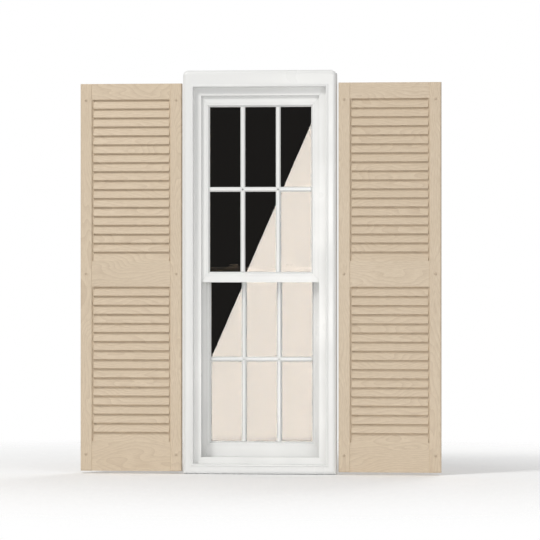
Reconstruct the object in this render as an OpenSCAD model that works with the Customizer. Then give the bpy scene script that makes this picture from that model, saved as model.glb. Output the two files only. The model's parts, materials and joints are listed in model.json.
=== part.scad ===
// Pair of louvred shutters beside a vinyl double-hung window in its casing.
// +X right, +Y into the wall, +Z up. The wall's face is the plane Y = 0.
// The origin is the centre of the window's fin screw pattern, on that plane.

/* [Shutters] */
// Width of one shutter
shutter_w = 368; // [330:1:420]
// Height of one shutter
shutter_h = 1397; // [1300:1:1500]
// Depth of a shutter from its back edge to its stile face
shutter_d = 28; // [26:0.5:34]
// Wall thickness of the moulded shell
shell_t = 2.5; // [2:0.1:3]
// Width of a stile up to the middle of its sloped inner edge
stile_w = 44; // [38:1:52]
// Height of the top rail
top_rail_h = 58; // [45:1:80]
// Height of the flat part of the middle rail
mid_rail_h = 94; // [70:1:120]
// Height of the flat part of the bottom rail
bottom_rail_h = 107; // [80:1:130]
// Height of the lower run of louvres
lower_field_h = 557; // [520:1:590]
// Faces in the upper run of louvres
upper_louvres = 18; // [14:1:20]
// Faces in the lower run of louvres
lower_louvres = 17; // [14:1:19]
// How far a louvre's nose stands in front of its top
louvre_rake = 10.5; // [7:0.5:11]
// Gap between a shutter and the casing
shutter_gap = 6.5; // [3:0.5:20]
// Height of the shutters' lower edge above the casing's lower edge
shutter_lift = 8.5; // [0:0.5:20]

/* [Casing] */
// Width over the casing
casing_w = 554; // [520:1:600]
// Height over the casing
casing_h = 1451; // [1420:1:1500]
// Depth of the casing in front of the wall
casing_d = 45; // [40:0.5:50]
// Face width of the casing's legs
leg_w = 38; // [34:1:44]
// Face height of the casing's head
head_h = 60; // [50:1:66]
// Face height of the casing's sill piece
sill_h = 37; // [30:1:40]
// Wall thickness of the casing
casing_t = 3; // [2.5:0.1:4]
// Radius of the casing's outer front edge
casing_r = 14; // [8:1:16]
// Radius of the casing's two top corners, seen from the front
corner_r = 18; // [10:1:24]

/* [Frame and sashes] */
// Width of the frame's exterior face inside the casing
frame_face = 26; // [22:1:28]
// Width of a sash's stile, and height of its top rail
sash_stile = 35.5; // [32:0.5:38]
// Thickness of a sash
sash_t = 30; // [28:0.5:32]
// Height of the lower sash's bottom rail
sash_bottom_rail = 56; // [48:1:64]
// Height of the rails where the two sashes meet
meeting_rail = 38; // [34:1:42]
// Width of the grille's bars
bar_w = 17; // [12:1:22]
// Thickness of one pane
pane_t = 3; // [3:0.5:4]
// Thickness of the sealed double pane
unit_t = 18; // [16:1:20]

/* [Hidden] */

$fn = 48;
eps = 0.01;
tan_vinyl = [0.80, 0.71, 0.60];
white_vinyl = [0.90, 0.90, 0.89];

// ---- shutter ----
louvre_top_y = -(shutter_d - 12);
rail_face_y = -(shutter_d - 2);
nose_y = louvre_top_y - louvre_rake;
upper_field_h = shutter_h - top_rail_h - mid_rail_h - bottom_rail_h - lower_field_h;
mid_rail_z = bottom_rail_h + lower_field_h;
top_rail_z = shutter_h - top_rail_h;
under_t = 2.2;
face_slope = atan(louvre_rake / (upper_field_h / upper_louvres));
back_shift = (shell_t + under_t * sin(face_slope)) / cos(face_slope);
slope_x = stile_w - 4;
slope_run = 6;
slope_fall = 8;
slope_wall = shell_t / cos(atan(slope_fall / slope_run));
end_wall_t = 2;
end_wall_back = -9;
field_x = slope_x + slope_run + end_wall_t;
nose_r = 2.6;
edge_r = 4;
boss_x = 20;
boss_r = 6;
shank_r = 2.1;
thread_r = 2.4;
point_l = 4;
screw_head_r = 4.6;
screw_head_h = 2.4;
screw_into_wall = 30;
screw_play = 0.3;
screw_z = [60, mid_rail_z + mid_rail_h / 2, shutter_h - 60];

// ---- window, heights measured from the casing's lower edge ----
casing_back = -2;
casing_face = -casing_d + 2.5;
edge_bead_r = 5;
half_w = casing_w / 2;
opening_x = half_w - leg_w - frame_face;
opening_z0 = 60;
opening_z1 = casing_h - head_h - 30;
frame_front = -20;
frame_x = half_w - 30;
frame_z0 = 18;
frame_z1 = casing_h - 30;
sash_gap = 1;
stop_t = 10;
parting_t = 6;
parting_x = opening_x - 13;
upper_y0 = frame_front + stop_t + sash_gap;
upper_y1 = upper_y0 + sash_t;
parting_y = upper_y1 + sash_gap;
lower_y0 = parting_y + parting_t + sash_gap;
lower_y1 = lower_y0 + sash_t;
inner_stop_y = lower_y1 + sash_gap;
frame_back = inner_stop_y + 6;
sash_x = opening_x + 6;
track_x = sash_x + 2.5;
track_z0 = opening_z0 - 6.3;
track_z1 = opening_z1 + 7.5;
fin_reach = 26;
fin_t = 2;
fin_hole_r = 2.5;
fin_hole_x = frame_x + 18;
fin_hole_z0 = 78;
fin_hole_rows = 6;
wall_t = 2.5;

// ---- sashes ----
glass_x = sash_x - sash_stile;
upper_z0 = 689;
upper_z1 = opening_z1 + 5;
lower_z0 = opening_z0 - 1.5;
lower_z1 = 744;
top_rail_extra = 10;
upper_glass = [upper_z0 + meeting_rail, upper_z1 - sash_stile - top_rail_extra];
lower_glass = [lower_z0 + sash_bottom_rail, lower_z1 - sash_stile];
unit_recess = 9;
unit_bite = 11;
rebate_play = 2;
bead_w = 7;
bead_nose = 2;
bar_proud = 7;
bar_edge = 2.5;
bar_slope_w = 5;
pile_t = 2;
pile_w = 3;
lift_z = 34;
lift_reach = 12;
seal_r = 4.4;
ledge_top = 740;
ledge_y = upper_y1 + 6;
ledge_x = parting_x - 2;
travel = 580;

// ---- balances ----
tube_r = 7.5;
tube_bore_r = 6.5;
rod_r = 2.2;
pocket_w = 17;
pocket_d = 19.5;
balance_x = track_x + 10;
upper_balance_y = (upper_y0 + upper_y1) / 2;
lower_balance_y = (lower_y0 + lower_y1) / 2;
tube_top = opening_z1 - 6;
bracket_h = 20;
bracket_half_t = 6.5;
pocket_wall_x = track_x + pocket_d;
ear_t = 3;
ear_half_w = 6;
ear_screw_r = 1.8;
ear_screw_z = tube_top + 5;

// ---- locks ----
lock_x = 95;
pivot_y = lower_y0 + 16;
lock_base_h = 6;
keeper_r0 = 17.6;
keeper_r1 = 19.4;
hook_r0 = 20;
hook_r1 = 23.4;
keeper_half = 18;
hook_start = 55;
hook_span = 68;
cam_h = 5;
hub_r = 8.5;
pivot_r = 3;
pivot_play = 0.05;
arm_w = 6;
lever_l = 24;
lever_r = 4.5;
lever_lift = 0.6;
lock_plate = [56, 20, 3];
lock_screw_x = 21;
lock_screw_r = 1.7;
lock_screw_head = [3.3, 1.6];
keeper_foot = [40, 2];
keeper_h = 16;
keeper_screw_x = 15;
keeper_screw_y = ledge_y - 3;
keeper_screw_r = 1.3;
keeper_screw_head = [2.3, 1.3];

// =============================== helpers ===============================

// Lowers a shape drawn from the casing's lower edge into the row's frame.
module placed() {
    translate([0, 0, -casing_h / 2])
        children();
}

// A shape and its mirror image about the plane X = 0.
module mirrored_pair() {
    children();
    mirror([1, 0, 0])
        children();
}

// A box given by its two corners.
module block(low, high) {
    translate(low)
        cube(high - low);
}

// A rectangular ring lying in the XZ plane, symmetrical about X = 0.
module ring(x_out, z_out, x_in, z_in, y) {
    difference() {
        block([-x_out, y[0], z_out[0]], [x_out, y[1], z_out[1]]);
        block([-x_in, y[0] - 1, z_in[0]], [x_in, y[1] + 1, z_in[1]]);
    }
}

// Extrudes a (y, z) outline along X between two places.
module along_x(x0, x1) {
    translate([x0, 0, 0])
        rotate([90, 0, 90])
            linear_extrude(x1 - x0)
                children();
}

// A cylinder along +Y from y0 to y1.
module rod_y(x, z, y0, y1, r) {
    translate([x, y0, z])
        rotate([-90, 0, 0])
            cylinder(h = y1 - y0, r = r);
}

// The unit vector along v.
function unit(v) = v / norm(v);

// Points of a round corner of radius r at c, between the directions of a and b.
function round_corner(a, c, b, r, steps = 4) =
    let (
        u = unit(a - c),
        v = unit(b - c),
        half = acos(u * v) / 2,
        centre = c + unit(u + v) * r / sin(half),
        from = c + u * r / tan(half) - centre,
        to = c + v * r / tan(half) - centre,
        start = atan2(from[1], from[0]),
        turn = (atan2(to[1], to[0]) - start + 540) % 360 - 180
    )
    [for (i = [0:steps]) centre + r * [cos(start + turn * i / steps), sin(start + turn * i / steps)]];

// ============================== shutters ==============================

// Front line of one run of louvres, from its top edge down to the rail below it.
function louvre_run(z_top, height, count) =
    let (pitch = height / count)
    [for (i = [0:count - 1])
        let (
            top = [louvre_top_y, z_top - i * pitch],
            nose = [nose_y, top[1] - pitch],
            back = [louvre_top_y, nose[1]]
        )
        each i < count - 1
            ? concat([top], round_corner(top, nose, back, nose_r))
            : [top, [rail_face_y, nose[1]]]
    ];

// A rail's lower edge, turned back to the first louvre under it.
function rail_foot(z) =
    round_corner([rail_face_y, z + 20], [rail_face_y, z], [louvre_top_y, z], nose_r);

// Front line of rails and louvres, from the top rail down.
function field_front() =
    concat(
        rail_foot(top_rail_z),
        louvre_run(top_rail_z, upper_field_h, upper_louvres),
        rail_foot(mid_rail_z),
        louvre_run(mid_rail_z, lower_field_h, lower_louvres)
    );

// Section of the wall that closes the louvres' ends.
function end_wall_outline() =
    concat(
        [[end_wall_back, shutter_h], [rail_face_y, shutter_h]], field_front(),
        [[rail_face_y, 0], [end_wall_back, 0]]
    );

// Section through rails and louvres, a folded wall of even thickness.
function field_outline() =
    let (
        front = field_front(),
        last = len(front) - 1,
        back = [for (i = [0:last]) front[last - i] + [back_shift, under_t]]
    )
    concat(
        [[rail_face_y, shutter_h]], front, [[rail_face_y, 0]],
        [[rail_face_y + back_shift, 0]], back, [[rail_face_y + back_shift, shutter_h]]
    );

// Section through a stile, from its outer edge to the wall that ends the louvres.
function stile_outline() =
    let (
        face = -shutter_d,
        inner = face + shell_t,
        inner_x = slope_x - (slope_wall - shell_t) * slope_run / slope_fall
    )
    concat(
        [[0, 0]],
        round_corner([0, 0], [0, face], [stile_w, face], edge_r, 6),
        [[slope_x, face], [slope_x + slope_run, face + slope_fall],
         [field_x, face + slope_fall], [field_x, end_wall_back],
         [slope_x + slope_run, end_wall_back],
         [slope_x + slope_run, face + slope_fall + slope_wall], [inner_x, inner]],
        round_corner([slope_x, inner], [shell_t, inner], [shell_t, 0], edge_r - shell_t, 4),
        [[shell_t, 0]]
    );

// One stile, standing on the shutter's lower left corner.
module stile() {
    linear_extrude(shutter_h)
        polygon(stile_outline());
}

// Fillets that carry the rails across to the stile's sloped edge.
module rail_ends() {
    over = 0.2;
    wall_x = slope_x + slope_run + end_wall_t / 4;
    step_x = slope_x + (rail_face_y + shutter_d) * slope_run / slope_fall - over;
    wall_y = slope_fall - shutter_d + 1.5;
    for (band = [[0, bottom_rail_h], [mid_rail_z, mid_rail_z + mid_rail_h], [top_rail_z, shutter_h]])
        translate([0, 0, band[0]])
            linear_extrude(band[1] - band[0])
                polygon([[step_x, rail_face_y], [wall_x, rail_face_y], [wall_x, wall_y]]);
}

// One stile with the ends of its rails and louvres.
module shutter_side() {
    stile();
    rail_ends();
    along_x(slope_x + slope_run, field_x)
        polygon(end_wall_outline());
}

// Side view with rounded front edges, which trims the shell's top and bottom.
module side_outline() {
    translate([-shutter_d - 1, edge_r])
        square([shutter_d + 1, shutter_h - 2 * edge_r]);
    translate([-shutter_d + edge_r, 0])
        square([shutter_d - edge_r, shutter_h]);
    for (z = [edge_r, shutter_h - edge_r])
        translate([-shutter_d + edge_r, z])
            circle(edge_r);
}

// Thin ribs behind the rails, which stiffen the open-backed shell.
module shutter_ribs() {
    rib_back = -3;
    for (z = [bottom_rail_h - 12, mid_rail_z + 4, mid_rail_z + mid_rail_h - 8, top_rail_z + 6])
        block([shell_t, rail_face_y + 1, z], [shutter_w - shell_t, rib_back, z + 2]);
    for (x = [shutter_w / 3, shutter_w * 2 / 3], band = [[0, bottom_rail_h - 10],
        [mid_rail_z + 4, mid_rail_z + mid_rail_h - 6], [top_rail_z + 6, shutter_h]])
        block([x - 1, rail_face_y + 1, band[0]], [x + 1, rib_back, band[1]]);
}

// One moulded shell, drawn from its lower left back corner.
module shutter() {
    color(tan_vinyl)
    difference() {
        union() {
            intersection() {
                union() {
                    shutter_side();
                    translate([shutter_w, 0, 0])
                        mirror([1, 0, 0])
                            shutter_side();
                    along_x(field_x - 1, shutter_w - field_x + 1)
                        polygon(field_outline());
                    for (z = [0, shutter_h - shell_t])
                        block([1, rail_face_y, z], [shutter_w - 1, 0, z + shell_t]);
                    shutter_ribs();
                }
                along_x(0, shutter_w)
                    side_outline();
            }
            for (x = [boss_x, shutter_w - boss_x], z = screw_z)
                rod_y(x, z, -shutter_d + 1, 0, boss_r);
        }
        for (x = [boss_x, shutter_w - boss_x], z = screw_z)
            rod_y(x, z, -shutter_d - 1, 1, thread_r + screw_play);
    }
}

// Screws of one shutter: a domed head, a shank through the boss and a thread in the wall.
module shutter_screw_set() {
    dome = 7;
    color("tan")
    for (x = [boss_x, shutter_w - boss_x], z = screw_z) {
        intersection() {
            rod_y(x, z, -shutter_d - screw_head_h, -shutter_d, screw_head_r);
            translate([x, -shutter_d - screw_head_h + dome, z])
                sphere(dome);
        }
        rod_y(x, z, -shutter_d - eps, eps, shank_r);
        rod_y(x, z, 0, screw_into_wall - point_l, thread_r);
        translate([x, screw_into_wall - point_l - eps, z])
            rotate([-90, 0, 0])
                cylinder(h = point_l, r1 = thread_r, r2 = 0.5);
    }
}

module left_place() {
    placed()
        translate([-half_w - shutter_gap - shutter_w, 0, shutter_lift])
            children();
}

module right_place() {
    placed()
        translate([half_w + shutter_gap, 0, shutter_lift])
            children();
}

module left_shutter() {
    left_place()
        shutter();
}

module right_shutter() {
    right_place()
        shutter();
}

module left_shutter_screws() {
    left_place()
        shutter_screw_set();
}

module right_shutter_screws() {
    right_place()
        shutter_screw_set();
}

// =============================== casing ===============================

// Section of the casing: u runs inward from its outer edge, the front is at -casing_d.
// A rounded outer edge, a flat face and a half-round bead at the inner edge.
module casing_solid(width) {
    difference() {
        translate([0, casing_face])
            square([width, casing_back - casing_face]);
        translate([-1, casing_face - 1])
            square([casing_r + 1, casing_r + 1]);
    }
    translate([casing_r, casing_face + casing_r])
        circle(casing_r);
    translate([width - edge_bead_r, -casing_d + edge_bead_r])
        circle(edge_bead_r);
}

// The section with its back opened, as an extruded trim has it. Its inner wall ends on
// the front of the window frame.
module casing_section(width) {
    inner_r = casing_r - casing_t;
    difference() {
        casing_solid(width);
        difference() {
            translate([casing_t, casing_face + casing_t])
                square([width - 2 * casing_t, casing_back - casing_face]);
            translate([casing_t - 1, casing_face + casing_t - 1])
                square([inner_r + 1, inner_r + 1]);
        }
        translate([casing_r, casing_face + casing_r])
            circle(inner_r);
        translate([width - casing_t - 1, frame_front])
            square([casing_t + 2, casing_back - frame_front + 1]);
    }
}

module casing_leg() {
    color(white_vinyl)
    placed()
        translate([-half_w, 0, sill_h])
            linear_extrude(casing_h - sill_h - head_h)
                casing_section(leg_w);
}

module casing_left_leg() {
    casing_leg();
}

module casing_right_leg() {
    mirror([1, 0, 0])
        casing_leg();
}

// A level length of casing whose outer edge is down, with closed ends.
module level_casing(height) {
    rotate([0, -90, 0])
        linear_extrude(casing_w, center = true)
            casing_section(height);
    for (side = [-1, 1])
        translate([side * (half_w - casing_t / 2), 0, 0])
            rotate([0, -90, 0])
                linear_extrude(casing_t, center = true)
                    casing_solid(height);
}

// Front view of the head: two rounded upper corners.
module head_front() {
    translate([-half_w, 0])
        square([casing_w, head_h - corner_r]);
    translate([-half_w + corner_r, 0])
        square([casing_w - 2 * corner_r, head_h]);
    for (x = [-half_w + corner_r, half_w - corner_r])
        translate([x, head_h - corner_r])
            circle(corner_r);
}

// The head's outline carried through its whole depth.
module head_block() {
    rotate([90, 0, 0])
        linear_extrude(casing_d * 3, center = true)
            head_front();
}

module casing_head() {
    color(white_vinyl)
    placed()
        translate([0, 0, casing_h - head_h]) {
            intersection() {
                head_turned()
                    level_casing(head_h);
                head_block();
            }
            // The wall that follows the two rounded corners.
            intersection() {
                difference() {
                    head_block();
                    rotate([90, 0, 0])
                        linear_extrude(casing_d * 4, center = true)
                            head_corner_inside();
                }
                head_turned()
                    rotate([0, -90, 0])
                        linear_extrude(casing_w, center = true)
                            casing_solid(head_h);
            }
        }
}

// Turns a level length of casing over, so that its outer edge is up.
module head_turned() {
    translate([0, 0, head_h])
        mirror([0, 0, 1])
            children();
}

// Front view of the space inside the head's rounded corners.
module head_corner_inside() {
    r = corner_r - casing_t;
    x = half_w - corner_r;
    top = head_h - casing_t;
    translate([-half_w + casing_t, -1])
        square([casing_w - 2 * casing_t, top - r + 1]);
    translate([-x, -1])
        square([2 * x, top + 1]);
    for (side = [-1, 1])
        translate([side * x, top - r])
            circle(r);
}

module casing_sill() {
    color(white_vinyl)
    placed()
        level_casing(sill_h);
}

// ============================= main frame =============================

// One closed box of the frame's section, with its sealed chamber.
module frame_band(x_in, z_in, y) {
    difference() {
        ring(frame_x, [frame_z0, frame_z1], x_in, z_in, y);
        if (y[1] - y[0] > 3 * wall_t)
            ring(frame_x - wall_t, [frame_z0 + wall_t, frame_z1 - wall_t],
                 x_in + wall_t, [z_in[0] - wall_t, z_in[1] + wall_t],
                 [y[0] + wall_t, y[1] - wall_t]);
    }
}

// The recess in a jamb that holds a balance.
module balance_pocket(y_mid) {
    block([track_x - 1, y_mid - pocket_w / 2, track_z0],
          [track_x + pocket_d, y_mid + pocket_w / 2, track_z1]);
}

// The sealed chamber between the two balance pockets.
module middle_chamber() {
    ring(frame_x - wall_t, [frame_z0 + wall_t, frame_z1 - wall_t],
         track_x + wall_t, [track_z0 - wall_t, track_z1 + wall_t],
         [upper_balance_y + pocket_w / 2 + wall_t, lower_balance_y - pocket_w / 2 - wall_t]);
}

// The outer track's floor, which falls towards the front.
module sill_slope() {
    along_x(-track_x, track_x)
        polygon([[frame_front + stop_t - eps, track_z0 - 1],
                 [parting_y + eps, track_z0 - 1],
                 [parting_y + eps, opening_z0 - 1],
                 [frame_front + stop_t - eps, track_z0 + 1.5]]);
}

// A thin flange round the frame, on the wall's face, with its screw holes.
module nailing_fin() {
    difference() {
        ring(frame_x + fin_reach, [frame_z0 - 16, frame_z1 + fin_reach],
             frame_x - 1, [frame_z0 + 1, frame_z1 - 1], [-fin_t, 0]);
        for (z = fin_rows(), side = [-1, 1])
            rod_y(side * fin_hole_x, z, -fin_t - 1, 1, fin_hole_r);
    }
}

// Heights of the fin's screw holes, even about the window's middle.
function fin_rows() =
    let (step = (casing_h - 2 * fin_hole_z0) / (fin_hole_rows - 1))
    [for (i = [0:fin_hole_rows - 1]) fin_hole_z0 + i * step];

module main_frame() {
    opening_z = [opening_z0, opening_z1];
    track_z = [track_z0, track_z1];
    color(white_vinyl)
    placed()
        difference() {
            union() {
                frame_band(opening_x, opening_z, [frame_front, frame_front + stop_t]);
                ring(frame_x, [frame_z0, frame_z1], track_x, track_z,
                     [frame_front + stop_t - eps, inner_stop_y + eps]);
                ring(frame_x - 1, [frame_z0 + 1, frame_z1 - 1], parting_x, opening_z,
                     [parting_y, parting_y + parting_t]);
                frame_band(opening_x, opening_z, [inner_stop_y, frame_back]);
                sill_slope();
                nailing_fin();
            }
            for (y_mid = [upper_balance_y, lower_balance_y])
                mirrored_pair()
                    balance_pocket(y_mid);
            middle_chamber();
        }
}

// ============================== balances ==============================

// A spring tube hung in a jamb pocket, with a flat ear at its top.
module balance_tube(y_mid, z0) {
    difference() {
        translate([balance_x, y_mid, z0])
            cylinder(h = tube_top - z0, r = tube_r);
        translate([balance_x, y_mid, z0 - 1])
            cylinder(h = tube_top - z0 - 4, r = tube_bore_r);
    }
    difference() {
        block([pocket_wall_x - ear_t, y_mid - ear_half_w, tube_top - 12],
              [pocket_wall_x, y_mid + ear_half_w, tube_top + 10]);
        translate([pocket_wall_x - ear_t - 1, y_mid, ear_screw_z])
            rotate([0, 90, 0])
                cylinder(h = ear_t + 2, r = ear_screw_r + 0.3);
    }
}

module upper_balance_tubes() {
    color("silver")
    placed()
        mirrored_pair()
            balance_tube(upper_balance_y, upper_z0 + 46);
}

module lower_balance_tubes() {
    color("silver")
    placed()
        mirrored_pair()
            balance_tube(lower_balance_y, lower_z0 + bracket_h + travel + 16);
}

// Pan-head screws through the ears into the jambs' outer walls.
module balance_screws() {
    head_h = 1.8;
    color("gray")
    placed()
        mirrored_pair()
            for (y_mid = [upper_balance_y, lower_balance_y])
                translate([pocket_wall_x - ear_t, y_mid, ear_screw_z])
                    rotate([0, 90, 0]) {
                        translate([0, 0, -head_h])
                            cylinder(h = head_h, r = 3.4);
                        translate([0, 0, -1])
                            cylinder(h = ear_t + 4.4, r = ear_screw_r);
                    }
}

// The rod that a spring tube turns on, from its bracket up into the tube.
module balance_rod(y_mid, z0, z1) {
    translate([balance_x, y_mid, z0])
        cylinder(h = z1 - z0, r = rod_r);
}

// The block on a sash's edge that carries the rod's lower end.
module balance_bracket(y_mid, z0) {
    difference() {
        block([sash_x, y_mid - bracket_half_t, z0],
              [balance_x + 6, y_mid + bracket_half_t, z0 + bracket_h]);
        translate([balance_x, y_mid, z0 + bracket_h / 2])
            cylinder(h = bracket_h, r = rod_r);
    }
}

module upper_balance_rods() {
    color("silver")
    placed()
        mirrored_pair()
            balance_rod(upper_balance_y, upper_z0 + 4 + bracket_h / 2, tube_top - 12);
}

module lower_balance_rods() {
    color("silver")
    placed()
        mirrored_pair()
            balance_rod(lower_balance_y, lower_z0 + 4 + bracket_h / 2, lower_z0 + travel + 100);
}

module upper_balance_brackets() {
    color("white")
    placed()
        mirrored_pair()
            balance_bracket(upper_balance_y, upper_z0 + 4);
}

module lower_balance_brackets() {
    color("white")
    placed()
        mirrored_pair()
            balance_bracket(lower_balance_y, lower_z0 + 4);
}

// =============================== sashes ===============================

// A welded sash: hollow stiles and rails with a rebate that is open to the front.
// z is its height range, glass_z is the height range of the visible pane.
module sash_ring(z, glass_z, y0) {
    y1 = y0 + sash_t;
    rebate_x = glass_x + unit_bite + rebate_play;
    rebate_z = [glass_z[0] - unit_bite - rebate_play, glass_z[1] + unit_bite + rebate_play];
    rebate_back = y0 + unit_recess + unit_t;
    difference() {
        ring(sash_x, z, glass_x, glass_z, [y0, y1]);
        block([-rebate_x, y0 - 1, rebate_z[0]], [rebate_x, rebate_back, rebate_z[1]]);
        ring(sash_x - wall_t, [z[0] + wall_t, z[1] - wall_t],
             rebate_x + wall_t, [rebate_z[0] - wall_t, rebate_z[1] + wall_t],
             [y0 + wall_t, y1 - wall_t]);
    }
}

// A snap-in bead frame: flat against the pane, sloping to the sash's face.
module bead_frame(glass_z, y0) {
    outer_x = glass_x + unit_bite + rebate_play;
    outer_z = [glass_z[0] - unit_bite - rebate_play, glass_z[1] + unit_bite + rebate_play];
    y_back = y0 + unit_recess;
    difference() {
        ring(outer_x, outer_z, glass_x, glass_z, [y0, y_back]);
        bead_slope(glass_z, y0);
    }
}

// The four slopes that the bead's inner edge is cut to, one wedge a side.
module bead_slope(glass_z, y0) {
    wedge = [[0, -1], [bead_w + 1, -1], [0, unit_recess - bead_nose]];
    mid_z = (glass_z[0] + glass_z[1]) / 2;
    half_z = (glass_z[1] - glass_z[0]) / 2;
    translate([0, y0, mid_z]) {
        for (side = [-1, 1])
            intersection() {
                translate([0, 0, -half_z - bead_w - 1])
                    linear_extrude(2 * (half_z + bead_w + 1))
                        polygon([for (p = wedge) [side * (glass_x - eps + p[0]), p[1]]]);
                slope_mitre(glass_x, half_z, side, true);
            }
        for (side = [-1, 1])
            intersection() {
                along_x(-glass_x - bead_w - 1, glass_x + bead_w + 1)
                    polygon([for (p = wedge) [p[1], side * (half_z - eps + p[0])]]);
                slope_mitre(glass_x, half_z, side, false);
            }
    }
}

// The mitred part of the plane in which one wedge may cut.
module slope_mitre(x, z, side, upright) {
    m = bead_w + 2;
    rotate([90, 0, 0])
        linear_extrude(100, center = true)
            polygon(upright
                ? [[side * (x - m), -z + m], [side * (x + m), -z - m],
                   [side * (x + m), z + m], [side * (x - m), z - m]]
                : [[-x + m, side * (z - m)], [-x - m, side * (z + m)],
                   [x + m, side * (z + m)], [x - m, side * (z - m)]]);
}

// One sheet of glass, held on all four sides by the rebate.
module pane(glass_z, y) {
    block([-glass_x - unit_bite, y, glass_z[0] - unit_bite],
          [glass_x + unit_bite, y + pane_t, glass_z[1] + unit_bite]);
}

// The bar that keeps the two sheets apart and seals the space between them.
module spacer(glass_z, y0) {
    ring(glass_x + unit_bite - 2, [glass_z[0] - unit_bite + 2, glass_z[1] + unit_bite - 2],
         glass_x + 3, [glass_z[0] - 3, glass_z[1] + 3],
         [y0 + unit_recess + pane_t, y0 + unit_recess + unit_t - pane_t]);
}

// Two blocks that carry the double pane on the rail below it.
module setting_blocks(glass_z, y0) {
    for (side = [-1, 1])
        translate([side * glass_x * 0.6 - 25, y0 + unit_recess,
                   glass_z[0] - unit_bite - rebate_play])
            cube([50, unit_t, rebate_play]);
}

// A bar's section: a flat front with two slopes, on the outer pane's face.
function bar_outline() =
    [[-bar_w / 2, 0], [bar_w / 2, 0],
     [bar_w / 2, -bar_edge], [bar_w / 2 - bar_slope_w, -bar_proud],
     [-bar_w / 2 + bar_slope_w, -bar_proud], [-bar_w / 2, -bar_edge]];

// Two upright bars and one level bar, which divide a sash three by two.
module grille(glass_z, y0) {
    pitch = (2 * glass_x + bar_w) / 3;
    height = glass_z[1] - glass_z[0];
    translate([0, y0 + unit_recess, 0]) {
        for (side = [-1, 1])
            translate([side * pitch / 2, 0, glass_z[0]])
                linear_extrude(height)
                    polygon(bar_outline());
        along_x(-glass_x, glass_x)
            translate([0, glass_z[0] + height / 2])
                polygon([for (p = bar_outline()) [p[1], p[0]]]);
    }
}

// Pile strips along a sash's two edges, clear of the balance bracket.
module side_pile(z0, z1, y0) {
    for (side = [-1, 1], y = [y0 + pile_w, y0 + sash_t - 2 * pile_w])
        translate([side * sash_x + (side < 0 ? -pile_t : 0), y, z0])
            cube([pile_t, pile_w, z1 - z0]);
}

module upper_sash_frame() {
    color(white_vinyl)
    placed()
        union() {
            sash_ring([upper_z0, upper_z1], upper_glass, upper_y0);
            block([-ledge_x, upper_y1 - 3, ledge_top - 36], [ledge_x, ledge_y, ledge_top]);
        }
}

module lower_sash_frame() {
    lift = [[-1, 0], [lift_reach, 3], [lift_reach, 8],
            [lift_reach - 3, 8], [lift_reach - 3, 6], [-1, 4]];
    color(white_vinyl)
    placed()
        union() {
            sash_ring([lower_z0, lower_z1], lower_glass, lower_y0);
            along_x(-opening_x + 20, opening_x - 20)
                translate([lower_y1, lower_z0 + lift_z])
                    polygon(lift);
        }
}

module upper_outer_pane() {
    color([0.6, 0.7, 0.7, 0.4])
    placed()
        pane(upper_glass, upper_y0 + unit_recess);
}

module upper_inner_pane() {
    color([0.6, 0.7, 0.7, 0.4])
    placed()
        pane(upper_glass, upper_y0 + unit_recess + unit_t - pane_t);
}

module lower_outer_pane() {
    color([0.6, 0.7, 0.7, 0.4])
    placed()
        pane(lower_glass, lower_y0 + unit_recess);
}

module lower_inner_pane() {
    color([0.6, 0.7, 0.7, 0.4])
    placed()
        pane(lower_glass, lower_y0 + unit_recess + unit_t - pane_t);
}

module upper_pane_spacer() {
    color("gray")
    placed()
        spacer(upper_glass, upper_y0);
}

module lower_pane_spacer() {
    color("gray")
    placed()
        spacer(lower_glass, lower_y0);
}

module upper_setting_blocks() {
    color("dimgray")
    placed()
        setting_blocks(upper_glass, upper_y0);
}

module lower_setting_blocks() {
    color("dimgray")
    placed()
        setting_blocks(lower_glass, lower_y0);
}

module upper_glazing_bead() {
    color(white_vinyl)
    placed()
        bead_frame(upper_glass, upper_y0);
}

module lower_glazing_bead() {
    color(white_vinyl)
    placed()
        bead_frame(lower_glass, lower_y0);
}

module upper_grille() {
    color(white_vinyl)
    placed()
        grille(upper_glass, upper_y0);
}

module lower_grille() {
    color(white_vinyl)
    placed()
        grille(lower_glass, lower_y0);
}

module upper_side_pile() {
    color("lightgray")
    placed()
        side_pile(upper_z0 + 30, upper_z1 - 4, upper_y0);
}

module lower_side_pile() {
    color("lightgray")
    placed()
        side_pile(lower_z0 + 30, lower_z1 - 4, lower_y0);
}

// The pile on the upper sash's ledge, which brushes the lower sash's face.
module meeting_rail_pile() {
    color("lightgray")
    placed()
        block([-ledge_x, ledge_y, ledge_top - 22],
              [ledge_x, ledge_y + 1.6, ledge_top - 22 + 2 * pile_w]);
}

// The soft seal under the lower sash: a half-round bulb on a flat foot.
module sill_bulb_seal() {
    color("dimgray")
    placed()
        along_x(-sash_x + 2, sash_x - 2)
            intersection() {
                translate([lower_balance_y - 2 * seal_r, lower_z0 - seal_r])
                    square([4 * seal_r, seal_r]);
                translate([lower_balance_y, lower_z0])
                    circle(seal_r);
            }
}

// ================================ locks ================================

// An annular sector about the Z axis, from one bearing to another. Bearing 0 is -Y,
// and bearings grow towards +X.
module sector(r0, r1, from, to, h) {
    far = 3 * r1;
    linear_extrude(h)
        difference() {
            intersection() {
                circle(r1);
                polygon(concat([[0, 0]],
                    [for (i = [0:4]) let (a = from + (to - from) * i / 4) far * [sin(a), -cos(a)]]));
            }
            circle(r0);
        }
}

// A plate with round ends, lying along X.
module stadium(length, width, h) {
    r = width / 2;
    linear_extrude(h)
        union() {
            square([length - width, width], center = true);
            for (x = [-1, 1] * (length - width) / 2)
                translate([x, 0])
                    circle(r);
        }
}

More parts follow.
